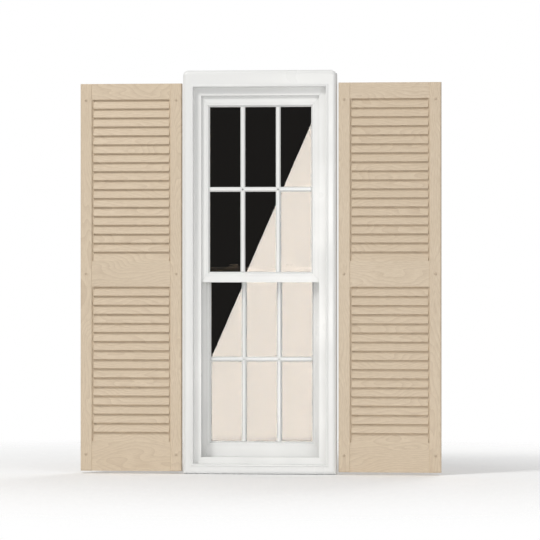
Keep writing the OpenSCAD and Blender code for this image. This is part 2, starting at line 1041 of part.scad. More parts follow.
// The fixed half of a sash lock: a plate with round ends and a raised hub.
module lock_base() {
    color(white_vinyl)
    difference() {
        union() {
            stadium(lock_plate[0], lock_plate[1], lock_plate[2]);
            cylinder(h = lock_base_h, r = hub_r + 0.5);
        }
        translate([0, 0, -1])
            cylinder(h = lock_base_h + 2, r = pivot_r + pivot_play);
        for (x = [-lock_screw_x, lock_screw_x])
            translate([x, 0, -1])
                cylinder(h = lock_plate[2] + 2, r = lock_screw_r);
    }
}

// The turning cam: hub, pivot, hook arm and finger lever.
module lock_cam() {
    hook_end = hook_start + hook_span;
    arm = hook_end - 5;
    arm_x = 6;
    color(white_vinyl)
    union() {
        translate([0, 0, -lock_base_h])
            cylinder(h = lock_base_h + 1, r = pivot_r);
        cylinder(h = cam_h, r = hub_r);
        sector(hook_r0, hook_r1, hook_start, hook_end, cam_h);
        rotate([0, 0, arm - 90])
            translate([arm_x, -arm_w / 2, 0])
                cube([hook_r1 - arm_x - 0.8, arm_w, cam_h]);
        rotate([0, 0, 90])
            translate([hub_r - 3, -lever_r, lever_lift])
                cube([lever_l - hub_r + 3, 2 * lever_r, cam_h - lever_lift]);
        rotate([0, 0, 90])
            translate([lever_l, 0, lever_lift])
                cylinder(h = cam_h - lever_lift, r = lever_r);
    }
}

module lock_place(side) {
    placed()
        translate([side * lock_x, pivot_y, lower_z1])
            mirror([side < 0 ? 1 : 0, 0, 0])
                children();
}

module left_lock_base() {
    lock_place(-1)
        lock_base();
}

module right_lock_base() {
    lock_place(1)
        lock_base();
}

module left_lock_cam() {
    lock_place(-1)
        translate([0, 0, lock_base_h + 0.3])
            lock_cam();
}

module right_lock_cam() {
    lock_place(1)
        translate([0, 0, lock_base_h + 0.3])
            lock_cam();
}

// Pan-head screws that hold the lock bases to the lower sash.
module lock_screws() {
    color("silver")
    for (side = [-1, 1])
        lock_place(side)
            for (x = [-lock_screw_x, lock_screw_x])
                translate([x, 0, 0]) {
                    translate([0, 0, -wall_t])
                        cylinder(h = wall_t + lock_plate[2], r = lock_screw_r);
                    translate([0, 0, lock_plate[2]])
                        cylinder(h = lock_screw_head[1], r = lock_screw_head[0]);
                }
}

// The strike on the upper sash's ledge: a foot and a curved wall that the hook passes behind.
module keeper() {
    foot_d = ledge_y - upper_y1 - 0.5;
    color(white_vinyl)
    difference() {
        union() {
            translate([-keeper_foot[0] / 2, ledge_y - foot_d, ledge_top])
                cube([keeper_foot[0], foot_d, keeper_foot[1]]);
            translate([0, pivot_y, ledge_top])
                sector(keeper_r0, keeper_r1, -keeper_half, keeper_half, keeper_h);
        }
        for (x = [-keeper_screw_x, keeper_screw_x])
            translate([x, keeper_screw_y, ledge_top - 1])
                cylinder(h = keeper_foot[1] + 2, r = keeper_screw_r);
    }
}

module keeper_place(side) {
    placed()
        translate([side * lock_x, 0, 0])
            mirror([side < 0 ? 1 : 0, 0, 0])
                children();
}

module left_keeper() {
    keeper_place(-1)
        keeper();
}

module right_keeper() {
    keeper_place(1)
        keeper();
}

module keeper_screws() {
    color("silver")
    for (side = [-1, 1])
        keeper_place(side)
            for (x = [-keeper_screw_x, keeper_screw_x])
                translate([x, keeper_screw_y, ledge_top]) {
                    translate([0, 0, -8])
                        cylinder(h = 8 + keeper_foot[1], r = keeper_screw_r);
                    translate([0, 0, keeper_foot[1]])
                        cylinder(h = keeper_screw_head[1], r = keeper_screw_head[0]);
                }
}

// =============================== drawing ===============================

left_shutter();
right_shutter();
left_shutter_screws();
right_shutter_screws();
casing_head();
casing_sill();
casing_left_leg();
casing_right_leg();
main_frame();
upper_balance_tubes();
lower_balance_tubes();
balance_screws();
upper_sash_frame();
upper_outer_pane();
upper_inner_pane();
upper_pane_spacer();
upper_setting_blocks();
upper_glazing_bead();
upper_grille();
upper_side_pile();
meeting_rail_pile();
upper_balance_rods();
upper_balance_brackets();
left_keeper();
right_keeper();
keeper_screws();
lower_sash_frame();
lower_outer_pane();
lower_inner_pane();
lower_pane_spacer();
lower_setting_blocks();
lower_glazing_bead();
lower_grille();
lower_side_pile();
sill_bulb_seal();
lower_balance_rods();
lower_balance_brackets();
left_lock_base();
right_lock_base();
lock_screws();
left_lock_cam();
right_lock_cam();
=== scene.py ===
# %% [markdown]
# # A pair of louvred shutters beside their window
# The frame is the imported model: shutters, casing, window frame and two sliding sashes,
# all in metres, with +Z up and the front facing -Y. It is loaded first and stays as it
# is. Everything below either gives one of its nodes a finish or rides on one of its
# bodies, so a raised sash takes all its pieces along.

# %% Load the frame
import json
import math

import bmesh
import bpy
from mathutils import Matrix, Vector


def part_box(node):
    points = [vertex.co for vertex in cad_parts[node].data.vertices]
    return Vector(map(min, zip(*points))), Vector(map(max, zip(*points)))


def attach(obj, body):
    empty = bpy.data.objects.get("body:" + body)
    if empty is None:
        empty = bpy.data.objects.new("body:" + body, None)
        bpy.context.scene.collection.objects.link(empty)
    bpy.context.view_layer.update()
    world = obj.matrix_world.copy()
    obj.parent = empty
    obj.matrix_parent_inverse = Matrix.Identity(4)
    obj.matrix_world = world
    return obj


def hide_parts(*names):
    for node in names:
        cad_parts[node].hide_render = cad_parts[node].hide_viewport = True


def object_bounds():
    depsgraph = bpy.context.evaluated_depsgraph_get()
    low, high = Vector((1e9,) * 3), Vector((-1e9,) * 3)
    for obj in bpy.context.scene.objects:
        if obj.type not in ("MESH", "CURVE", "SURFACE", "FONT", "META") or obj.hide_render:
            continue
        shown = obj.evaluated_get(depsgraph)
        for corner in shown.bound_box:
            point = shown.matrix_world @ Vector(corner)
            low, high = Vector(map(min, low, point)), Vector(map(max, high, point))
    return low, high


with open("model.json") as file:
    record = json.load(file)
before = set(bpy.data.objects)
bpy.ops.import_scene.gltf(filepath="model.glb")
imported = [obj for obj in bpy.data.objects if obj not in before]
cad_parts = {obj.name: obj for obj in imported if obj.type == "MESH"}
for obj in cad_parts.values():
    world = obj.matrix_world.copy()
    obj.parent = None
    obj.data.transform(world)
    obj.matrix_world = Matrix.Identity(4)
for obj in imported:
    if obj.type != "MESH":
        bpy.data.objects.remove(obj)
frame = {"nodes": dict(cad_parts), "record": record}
cad_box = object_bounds()
nodes = frame["nodes"]
print("whole box in metres:", [tuple(round(c, 3) for c in p) for p in cad_box])

# %% [markdown]
# ## Camera
# A long lens from far off keeps the stiles upright and the louvres evenly spaced. The
# camera stands a few degrees to the right of square, so the reveals of the casing show a
# little more on one side than on the other.

# %% Camera
VIEW_WIDTH = 1.944
SENSOR_MM = 36.0
CAMERA_DISTANCE = 12.0
CAMERA_AZIMUTH = math.radians(6.0)
AIM = Vector((0.034, 0.0, 0.008))

toward_camera = Vector((math.sin(CAMERA_AZIMUTH), -math.cos(CAMERA_AZIMUTH), 0.0))
camera_data = bpy.data.cameras.new("camera")
camera = bpy.data.objects.new("camera", camera_data)
bpy.context.scene.collection.objects.link(camera)
camera.location = AIM + toward_camera * CAMERA_DISTANCE
camera.rotation_euler = (math.radians(90.0), 0.0, CAMERA_AZIMUTH)
camera_data.sensor_width = SENSOR_MM
camera_data.lens = SENSOR_MM * CAMERA_DISTANCE / VIEW_WIDTH
bpy.context.scene.camera = camera
print(f"lens {camera_data.lens:.0f} mm, view {VIEW_WIDTH:.2f} m wide")

# %% [markdown]
# ## Studio
# The floor is a pale disc that fades into a white surround, so no horizon shows. One big
# soft light stands high on the left, where it rakes down the louvres and draws the dark
# line under each. A weaker one on the right fills the shadows.

# %% Floor
FLOOR_RADIUS = 5.0
FLOOR_DROP = 0.0005
FADE_START, FADE_END = 0.9, 2.6
PAPER = (0.95, 0.95, 0.95, 1.0)
WHITE = (1.0, 1.0, 1.0, 1.0)

floor_mesh = bmesh.new()
bmesh.ops.create_circle(floor_mesh, cap_ends=True, segments=96, radius=FLOOR_RADIUS)
floor_data = bpy.data.meshes.new("floor")
floor_mesh.to_mesh(floor_data)
floor_mesh.free()
floor = bpy.data.objects.new("floor", floor_data)
floor.location.z = cad_box[0].z - FLOOR_DROP
bpy.context.scene.collection.objects.link(floor)

floor_mat = bpy.data.materials.new("floor_paper")
floor_mat.use_nodes = True
floor_tree = floor_mat.node_tree
floor_tree.nodes.clear()
coords = floor_tree.nodes.new("ShaderNodeTexCoord")
distance = floor_tree.nodes.new("ShaderNodeVectorMath")
distance.operation = "LENGTH"
fade = floor_tree.nodes.new("ShaderNodeMapRange")
fade.inputs["From Min"].default_value = FADE_START
fade.inputs["From Max"].default_value = FADE_END
paper = floor_tree.nodes.new("ShaderNodeBsdfDiffuse")
paper.inputs["Color"].default_value = PAPER
clear = floor_tree.nodes.new("ShaderNodeBsdfTransparent")
blend = floor_tree.nodes.new("ShaderNodeMixShader")
surface = floor_tree.nodes.new("ShaderNodeOutputMaterial")
link = floor_tree.links.new
link(coords.outputs["Object"], distance.inputs[0])
link(distance.outputs["Value"], fade.inputs["Value"])
link(fade.outputs["Result"], blend.inputs["Fac"])
link(paper.outputs["BSDF"], blend.inputs[1])
link(clear.outputs["BSDF"], blend.inputs[2])
link(blend.outputs["Shader"], surface.inputs["Surface"])
floor_data.materials.append(floor_mat)
print("floor at z =", round(floor.location.z, 4))

# %% [markdown]
# The key stands high on the left and the fill low on the right, and a third light lifts
# the back. The panes would show only the dim surround, so a tall tilted card stands in
# front of them: it is seen in reflections alone, and its edge crosses the glass as a
# slanting line. The fill is kept out of reflections, where it would show as a patch.

# %% Lights
ORIGIN = (0.0, 0.0, 0.0)
CARD_X, CARD_Z = -0.025, -0.171
CARD_TILT = math.radians(-23.6)


def area_light(name, place, target, size, watts, colour=(1.0, 1.0, 1.0)):
    """A square soft light at place that faces target."""
    data = bpy.data.lights.new(name, "AREA")
    data.size = size
    data.energy = watts
    data.color = colour
    lamp = bpy.data.objects.new(name, data)
    lamp.location = place
    lamp.rotation_euler = (Vector(target) - Vector(place)).to_track_quat("-Z", "Y").to_euler()
    bpy.context.scene.collection.objects.link(lamp)
    return lamp


area_light("key", (-2.6, -3.2, 4.0), ORIGIN, 1.1, 143.0, (1.0, 0.985, 0.96))
fill = area_light("fill", (3.2, -4.2, 0.8), ORIGIN, 2.6, 44.0)
fill.visible_glossy = False
area_light("back_fill", (1.5, 4.0, 2.6), ORIGIN, 2.2, 60.0)

card = area_light("window_card", (CARD_X, -3.0, CARD_Z), (CARD_X, 0.0, CARD_Z), 1.0, 56.0,
                  (1.0, 0.965, 0.915))
card.data.shape = "RECTANGLE"
card.data.size = 0.8
card.data.size_y = 2.2
card.rotation_euler.rotate_axis("Z", CARD_TILT)
card.visible_camera = False
card.visible_diffuse = False

# %% [markdown]
# The surround is a plain white world whose level depends on the kind of ray: full white
# to the camera, softer as a light, dimmer in reflections and dimmest through the glass,
# so that the panes read dark against a white page.

# %% Surround
AMBIENT = 0.52
REFLECTED_SHARE = 0.3
THROUGH_GLASS_SHARE = 0.1

world = bpy.data.worlds.new("surround")
world.use_nodes = True
world_tree = world.node_tree
background = world_tree.nodes["Background"]
background.inputs["Color"].default_value = WHITE
rays = world_tree.nodes.new("ShaderNodeLightPath")


def by_ray(ray, otherwise, seen):
    """A level that is seen by one kind of ray and otherwise by the others."""
    level = world_tree.nodes.new("ShaderNodeMapRange")
    level.inputs["To Min"].default_value = otherwise
    level.inputs["To Max"].default_value = seen
    world_tree.links.new(rays.outputs[ray], level.inputs["Value"])
    return level.outputs["Result"]


def product(a, b):
    """The product of two levels."""
    node = world_tree.nodes.new("ShaderNodeMath")
    node.operation = "MULTIPLY"
    world_tree.links.new(a, node.inputs[0])
    world_tree.links.new(b, node.inputs[1])
    return node.outputs["Value"]


strength = product(by_ray("Is Camera Ray", AMBIENT, 1.0),
                   product(by_ray("Is Glossy Ray", 1.0, REFLECTED_SHARE),
                           by_ray("Is Transmission Ray", 1.0, THROUGH_GLASS_SHARE)))
world_tree.links.new(strength, background.inputs["Strength"])
bpy.context.scene.world = world
bpy.context.scene.view_settings.view_transform = "Standard"
print("ambient level:", AMBIENT)

# %% [markdown]
# ## Finishes
# Moulded vinyl, glass, metal and pile each get a material of their own. What they share
# is a node group: a stretched grain for moulded wood figure, and a fine mottle that
# keeps a plain surface from looking flat. A group hands out only values and colours, and
# each material sets its own gloss on its own shader.

# %% Small helpers for node trees
class Tree:
    """A thin wrapper that adds nodes and links them in one line each."""

    def __init__(self, tree):
        self.tree = tree

    def add(self, kind, inputs=None, **settings):
        node = self.tree.nodes.new("ShaderNode" + kind)
        for key, value in settings.items():
            setattr(node, key, value)
        for key, value in (inputs or {}).items():
            self.put(value, node.inputs[key])
        return node

    def put(self, value, socket):
        if isinstance(value, bpy.types.NodeSocket):
            self.tree.links.new(value, socket)
        else:
            socket.default_value = value

    def math(self, operation, a, b=0.0, c=0.0):
        node = self.add("Math", operation=operation)
        for value, socket in zip((a, b, c), node.inputs):
            self.put(value, socket)
        return node.outputs[0]

    def noise(self, vector, scale, detail=3.0, roughness=0.5):
        settings = {"Vector": vector, "Scale": scale, "Detail": detail, "Roughness": roughness}
        return self.add("TexNoise", settings).outputs["Fac"]

    def span(self, value, low, high, out_low=0.0, out_high=1.0):
        limits = {"Value": value, "From Min": low, "From Max": high,
                  "To Min": out_low, "To Max": out_high}
        return self.add("MapRange", limits).outputs["Result"]

    def colour(self, factor, a, b):
        node = self.add("Mix", data_type="RGBA")
        self.put(factor, node.inputs["Factor"])
        self.put(a, node.inputs["A"])
        self.put(b, node.inputs["B"])
        return node.outputs["Result"]


def new_group(name, inputs, outputs):
    """A node group with named sockets; returns its tree wrapper and its two end nodes."""
    group = bpy.data.node_groups.new(name, "ShaderNodeTree")
    for socket, kind in inputs:
        group.interface.new_socket(socket, in_out="INPUT", socket_type="NodeSocket" + kind)
    for socket, kind in outputs:
        group.interface.new_socket(socket, in_out="OUTPUT", socket_type="NodeSocket" + kind)
    start = group.nodes.new("NodeGroupInput")
    end = group.nodes.new("NodeGroupOutput")
    return Tree(group), start, end


def new_material(name):
    """A material with only a Principled shader; returns it, its tree and the shader."""
    material = bpy.data.materials.new(name)
    material.use_nodes = True
    shader = material.node_tree.nodes["Principled BSDF"]
    return material, Tree(material.node_tree), shader


print("helpers ready")

# %% [markdown]
# ### Moulded wood grain
# The shutters are moulded with the figure of sawn cedar: long fine pores, and under them
# broad growth rings that swell into arches. Both come from one vector whose X runs
# across the grain and whose Z runs along it. Stretching noise along Z makes the pores,
# and a sharpened sawtooth over a slowly wandering X makes the rings.

# %% Grain group
RING_WANDER = 0.28
RING_SHARPNESS = 2.2
PORE_STRETCH = 0.035
PORE_START, PORE_END = 0.47, 0.62

grain_tree, grain_in, grain_out = new_group(
    "moulded_grain",
    [("Vector", "Vector"), ("Ring Width", "Float"), ("Pore Width", "Float")],
    [("Rings", "Float"), ("Pores", "Float"), ("Height", "Float")],
)
g = grain_tree
split = g.add("SeparateXYZ", {0: grain_in.outputs["Vector"]})
slow = g.add("CombineXYZ", {
    "X": g.math("MULTIPLY", split.outputs["X"], 9.0),
    "Y": g.math("MULTIPLY", split.outputs["Y"], 3.0),
    "Z": g.math("MULTIPLY", split.outputs["Z"], 2.6),
})
wander = g.noise(slow.outputs["Vector"], 1.0, 2.0, 0.45)
ring_place = g.math("MULTIPLY_ADD", wander, RING_WANDER, split.outputs["X"])
ring_turn = g.math("DIVIDE", ring_place, grain_in.outputs["Ring Width"])
saw = g.math("FRACT", ring_turn)
rings = g.math("POWER", saw, RING_SHARPNESS)
along = g.math("MULTIPLY", split.outputs["Z"], PORE_STRETCH)
fine = g.add("CombineXYZ", {"X": split.outputs["X"], "Y": along, "Z": along})
pore_scale = g.math("DIVIDE", 1.0, grain_in.outputs["Pore Width"])
pore_noise = g.noise(fine.outputs["Vector"], pore_scale, 4.0, 0.62)
pores = g.span(pore_noise, PORE_START, PORE_END)
height = g.math("MULTIPLY_ADD", rings, -0.45, g.math("MULTIPLY", pores, -0.75))
g.put(rings, grain_out.inputs["Rings"])
g.put(pores, grain_out.inputs["Pores"])
g.put(height, grain_out.inputs["Height"])
print("group:", grain_tree.tree.name)

# %% [markdown]
# ### Mottle
# Extruded vinyl, paint and metal look plain, yet their gloss and tone drift a little
# from place to place. Two octaves of noise give a broad drift and a fine tooth.

# %% Mottle group
mottle_tree, mottle_in, mottle_out = new_group(
    "surface_mottle",
    [("Vector", "Vector"), ("Broad Scale", "Float"), ("Fine Scale", "Float")],
    [("Drift", "Float"), ("Tooth", "Float")],
)
drift = mottle_tree.noise(mottle_in.outputs["Vector"], mottle_in.outputs["Broad Scale"], 2.0)
tooth = mottle_tree.noise(mottle_in.outputs["Vector"], mottle_in.outputs["Fine Scale"], 3.0)
mottle_tree.put(drift, mottle_out.inputs["Drift"])
mottle_tree.put(tooth, mottle_out.inputs["Tooth"])
print("group:", mottle_tree.tree.name)


# %% [markdown]
# A mottled material drifts between a light and a dark colour and between two gloss
# levels, and carries a faint tooth as relief. Vinyl, paint, nylon, rubber, metal and
# pile differ only in these values, so one helper makes them all.

# %% Mottled material
def place_group(tree, name, values):
    """Adds a group node and sets or links its inputs."""
    node = tree.add("Group")
    node.node_tree = bpy.data.node_groups[name]
    for key, value in values.items():
        tree.put(value, node.inputs[key])
    return node


def mottled(name, light, dark, rough, broad=6.0, fine=900.0, bump=0.00003, metallic=0.0):
    """A surface whose colour drifts from light to dark and whose gloss varies with it."""
    material, tree, shader = new_material(name)
    place = tree.add("TexCoord").outputs["Object"]
    group = place_group(tree, "surface_mottle",
                        {"Vector": place, "Broad Scale": broad, "Fine Scale": fine})
    tree.put(tree.colour(group.outputs["Drift"], light, dark), shader.inputs["Base Color"])
    gloss = tree.span(group.outputs["Drift"], 0.3, 0.7, rough[0], rough[1])
    tree.put(gloss, shader.inputs["Roughness"])
    relief = tree.add("Bump", {"Height": group.outputs["Tooth"], "Distance": bump,
                               "Strength": 0.6})
    tree.put(relief.outputs["Normal"], shader.inputs["Normal"])
    shader.inputs["Metallic"].default_value = metallic
    return material


white_vinyl = mottled("white_vinyl", (0.84, 0.845, 0.835, 1), (0.79, 0.795, 0.785, 1),
                      (0.26, 0.4))
lock_paint = mottled("lock_paint", (0.78, 0.78, 0.76, 1), (0.70, 0.70, 0.68, 1),
                     (0.2, 0.34), 60.0)
white_nylon = mottled("white_nylon", (0.72, 0.72, 0.68, 1), (0.64, 0.64, 0.6, 1),
                      (0.4, 0.55), 80.0)
seal_rubber = mottled("seal_rubber", (0.03, 0.03, 0.032, 1), (0.05, 0.05, 0.052, 1),
                      (0.6, 0.8), 120.0, 1500.0, 0.0001)
balance_metal = mottled("balance_metal", (0.62, 0.63, 0.65, 1), (0.5, 0.51, 0.53, 1),
                        (0.24, 0.42), 40.0, 700.0, 0.00002, 1.0)
plated_steel = mottled("plated_steel", (0.60, 0.60, 0.58, 1), (0.46, 0.46, 0.44, 1),
                       (0.22, 0.4), 160.0, 1200.0, 0.00002, 1.0)
spacer_metal = mottled("spacer_metal", (0.58, 0.59, 0.6, 1), (0.48, 0.49, 0.5, 1),
                       (0.3, 0.45), 60.0, 900.0, 0.00002, 1.0)
pile_strip = mottled("pile_strip", (0.45, 0.45, 0.45, 1), (0.26, 0.26, 0.26, 1),
                     (0.8, 0.95), 500.0, 2400.0, 0.0006)
print("mottled finishes:", len(bpy.data.materials) - 1)

# %% [markdown]
# ### Shutter vinyl
# On a moulded shutter the grain runs up the stiles and across the rails and louvres, as
# it does on a joined wooden one. One material does both: it measures how far a point is
# from its shutter's middle, and turns the grain's vector where the field begins. The rails
# start a little further out than the louvres, whose ends lie behind a sloped edge, so
# the edge of the field depends on how deep the point lies.

# %% Shutter material
shutter_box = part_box("right_shutter")
shutter_mid = (shutter_box[0].x + shutter_box[1].x) / 2
shutter_half = (shutter_box[1].x - shutter_box[0].x) / 2
STILE_WIDTH = 0.041
LOUVRE_INSET = 0.006
RAIL_FACE = shutter_box[0].y + 0.0023
RING_WIDTH, PORE_WIDTH = 0.013, 0.0011


def shutter_vinyl_material():
    """Tan vinyl with grain along the stiles and across the field."""
    material, tree, shader = new_material("shutter_vinyl")
    place = tree.add("SeparateXYZ", {0: tree.add("TexCoord").outputs["Object"]})
    x, y, z = (place.outputs[i] for i in range(3))
    from_middle = tree.math("SUBTRACT", tree.math("ABSOLUTE", x), shutter_mid)
    sunk = tree.math("GREATER_THAN", y, RAIL_FACE)
    half_field = tree.math("MULTIPLY_ADD", sunk, -LOUVRE_INSET, shutter_half - STILE_WIDTH)
    in_field = tree.math("LESS_THAN", tree.math("ABSOLUTE", from_middle), half_field)
    upright = tree.add("CombineXYZ", {"X": x, "Y": y, "Z": z})
    level = tree.add("CombineXYZ", {"X": z, "Y": y, "Z": tree.math("ADD", x, 3.7)})
    turned = tree.add("Mix", data_type="VECTOR")
    tree.put(in_field, turned.inputs["Factor"])
    tree.put(upright.outputs["Vector"], turned.inputs[4])
    tree.put(level.outputs["Vector"], turned.inputs[5])
    grain = place_group(tree, "moulded_grain", {
        "Vector": turned.outputs[1], "Ring Width": RING_WIDTH, "Pore Width": PORE_WIDTH})
    broad = place_group(tree, "surface_mottle", {
        "Vector": turned.outputs[1], "Broad Scale": 7.0, "Fine Scale": 1400.0})
    base = tree.colour(broad.outputs["Drift"], (0.71, 0.59, 0.44, 1), (0.66, 0.54, 0.395, 1))
    ringed = tree.colour(tree.math("MULTIPLY", grain.outputs["Rings"], 0.6), base,
                         (0.56, 0.44, 0.315, 1))
    pored = tree.colour(tree.math("MULTIPLY", grain.outputs["Pores"], 0.4), ringed,
                        (0.50, 0.385, 0.265, 1))
    tree.put(pored, shader.inputs["Base Color"])
    tree.put(tree.span(grain.outputs["Pores"], 0.0, 1.0, 0.42, 0.58), shader.inputs["Roughness"])
    tall = tree.math("MULTIPLY_ADD", broad.outputs["Tooth"], 0.12, grain.outputs["Height"])
    relief = tree.add("Bump", {"Height": tall, "Distance": 0.00025, "Strength": 0.8})
    tree.put(relief.outputs["Normal"], shader.inputs["Normal"])
    return material


shutter_vinyl = shutter_vinyl_material()
screw_paint = mottled("screw_paint", (0.60, 0.49, 0.36, 1), (0.52, 0.41, 0.29, 1),
                      (0.3, 0.45), 200.0, 1200.0, 0.00002)
print("shutter middle at x =", round(shutter_mid, 4))

# %% [markdown]
# ### Pane glass
# Two thin panes stand in each sash. Their glass is clear with a warm brown tint that is painted
# shade: it stands in for a dark room behind the panes, so the sealed pair reads darker than the
# air beside it.

# %% Glass material
def glass_material():
    """Clear glass with a warm tint of painted room shade and a slight ripple."""
    material, tree, shader = new_material("pane_glass")
    place = tree.add("TexCoord").outputs["Object"]
    group = place_group(tree, "surface_mottle",
                        {"Vector": place, "Broad Scale": 3.0, "Fine Scale": 40.0})
    # Painted shade: the warm brown tint darkens everything seen through the panes, in place of a
    # dark room behind them; its drift between two tints is random tone.
    room_shade_tint = tree.colour(group.outputs["Drift"], (0.60, 0.55, 0.50, 1), (0.56, 0.515, 0.465, 1))
    tree.put(room_shade_tint, shader.inputs["Base Color"])
    tree.put(tree.span(group.outputs["Tooth"], 0.3, 0.7, 0.0, 0.006), shader.inputs["Roughness"])
    ripple = tree.add("Bump", {"Height": group.outputs["Drift"], "Distance": 0.0004,
                               "Strength": 0.12})
    tree.put(ripple.outputs["Normal"], shader.inputs["Normal"])
    shader.inputs["Transmission Weight"].default_value = 1.0
    shader.inputs["IOR"].default_value = 1.5
    return material


pane_glass = glass_material()
print("glass ready")

# %% [markdown]
# ### Assigning the finishes
# Each CAD node takes the finish that the record's material slot names, so the two
# cannot drift apart.

# %% Finish of every node
finishes = {
    "shutter_vinyl": shutter_vinyl, "screw_paint": screw_paint, "white_vinyl": white_vinyl,
    "pane_glass": pane_glass, "spacer_metal": spacer_metal, "seal_rubber": seal_rubber,
    "pile_strip": pile_strip, "balance_metal": balance_metal, "plated_steel": plated_steel,
    "white_nylon": white_nylon, "lock_paint": lock_paint,
}
slot_of = {part["node"]: part["material_slot"] for part in frame["record"]["subparts"]}
for node_name, node in nodes.items():
    node.data.materials.clear()
    node.data.materials.append(finishes[slot_of[node_name]])
print("finished nodes:", len(nodes))

# %% [markdown]
# ## Pieces with soft edges
# Welded and moulded vinyl has no knife edges, so the frame's bars and the sashes are
# drawn again with their sharp edges rounded off, and the casing with a rounded section.
# A frame is four bars, each drawn as a section whose points lie on named rectangles. A
# bar joins two corners of those rectangles, so the ends meet in mitres however wide each
# rail is.

# %% From a bmesh to a riding piece
MM = 0.001


def weigh_normals(mesh):
    """Lets the large faces rule the shading, so that only the narrow edge bands curve."""
    faces = mesh.polygons
    around = [[] for _ in mesh.vertices]
    for face in faces:
        for vertex in face.vertices:
            around[vertex].append(face.index)
    normals = []
    for face in faces:
        for vertex in face.vertices:
            total = Vector()
            for other in around[vertex]:
                if faces[other].normal.dot(face.normal) > 0.6:
                    total += faces[other].normal * faces[other].area
            normals.append(total.normalized())
    faces.foreach_set("use_smooth", [True] * len(faces))
    mesh.normals_split_custom_set(normals)


def piece(bm, name, slot, body, replaced=(), soften=0.0):
    """Rounds the sharp edges of bm by soften mm and lets the result ride on a body."""
    bmesh.ops.recalc_face_normals(bm, faces=bm.faces)
    if soften:
        sharp = [e for e in bm.edges
                 if len(e.link_faces) == 2 and e.calc_face_angle(0.0) > math.radians(25)]
        bmesh.ops.bevel(bm, geom=sharp, offset=soften * MM, segments=2, profile=0.5,
                        affect="EDGES", clamp_overlap=True, material=-1)
    mesh = bpy.data.meshes.new(name)
    bm.to_mesh(mesh)
    bm.free()
    weigh_normals(mesh)
    mesh.materials.append(finishes[slot])
    made = bpy.data.objects.new(name, mesh)
    bpy.context.scene.collection.objects.link(made)
    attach(made, body)
    if replaced:
        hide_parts(*replaced)
    print(f"{name}: {len(mesh.polygons)} faces")
    return made


# %% Bars between the corners of rectangles
SIDES = {
    "left": ((-1, 0), (-1, 1)), "right": ((1, 0), (1, 1)),
    "bottom": ((-1, 0), (1, 0)), "top": ((-1, 1), (1, 1)),
}


def rectangle(node, grow=0.0):
    """Half width, lowest and highest height of a node's front view, in mm."""
    low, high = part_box(node)
    return (high.x / MM + grow, low.z / MM - grow, high.z / MM + grow)


def add_prism(bm, start, end):
    """A closed bar between two outlines of equally many points, in mm."""
    near = [bm.verts.new(Vector(p) * MM) for p in start]
    far = [bm.verts.new(Vector(p) * MM) for p in end]
    bm.faces.new(near)
    bm.faces.new(far[::-1])
    for i in range(len(near)):
        bm.faces.new((near[i - 1], far[i - 1], far[i], near[i]))


def at_corner(section, x_sign, top):
    """The section's (rectangle, outward offset, y) points at one corner of the frame."""
    points = []
    for (half, low, high), out, y in section:
        points.append((x_sign * (half + out), y, high + out if top else low - out))
    return points


def add_bars(bm, section, sides=("left", "right", "bottom", "top")):
    """Adds the named sides of a frame, each a mitred bar of the given section."""
    for side in sides:
        start, end = SIDES[side]
        add_prism(bm, at_corner(section, *start), at_corner(section, *end))


def add_box(bm, low, high):
    """A box between two corners, in mm."""
    (x0, y0, z0), (x1, y1, z1) = low, high
    add_prism(bm, [(x0, y0, z0), (x1, y0, z0), (x1, y1, z0), (x0, y1, z0)],
              [(x0, y0, z1), (x1, y0, z1), (x1, y1, z1), (x0, y1, z1)])


print("sides:", sorted(SIDES))

# %% [markdown]
# ### Window frame
# The frame's section runs from the wall side in: an outer stop, the outer sash's track,
# a parting stop, the inner sash's track and the inner stop. The jambs also have two
# pockets for the balances, and the sill slopes outward so that rain runs off.

# %% [markdown]
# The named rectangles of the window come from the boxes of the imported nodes, so the
# redrawn bars fall on the same lines. Each rectangle is half a width and two heights.

# %% Rectangles of the window
GLASS_BITE = 11.0
FIN_SIDE, FIN_BOTTOM = 26.0, 16.0

fin = rectangle("main_frame")
outer = (fin[0] - FIN_SIDE, fin[1] + FIN_BOTTOM, fin[2] - FIN_SIDE)
upper_sash = rectangle("upper_sash_frame")
lower_sash = rectangle("lower_sash_frame")
upper_glass = rectangle("upper_outer_pane", -GLASS_BITE)
lower_glass = rectangle("lower_outer_pane", -GLASS_BITE)
opening = (upper_sash[0] - 6.0, lower_sash[1] + 1.5, upper_sash[2] - 5.0)
track = (upper_sash[0] + 2.5, opening[1] - 6.3, opening[2] + 7.5)
parting = (opening[0] - 13.0, opening[1], opening[2])
pocket = (track[0] + 19.5, track[1] - 27.3, track[2] + 40.2)
print("opening in mm:", [round(v, 1) for v in opening])

# %% Window frame
SASH_DEPTH = 30.0
STOP_T = 6.0
FRONT_STOP_T = 10.0
TRACK_DEPTH = 31.0
POCKET_HALF = 8.5

frame_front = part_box("main_frame")[0].y / MM
frame_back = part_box("main_frame")[1].y / MM
upper_front = frame_front + 11.0
parting_front = upper_front + TRACK_DEPTH
lower_front = parting_front + 7.0
stop_front = lower_front + TRACK_DEPTH


def jamb_pocket(sash_front):
    """The balance's pocket in a jamb, centred on the sash."""
    middle = sash_front + SASH_DEPTH / 2
    near, far = middle - POCKET_HALF, middle + POCKET_HALF
    return [(track, 0, near), (pocket, 0, near), (pocket, 0, far), (track, 0, far)]


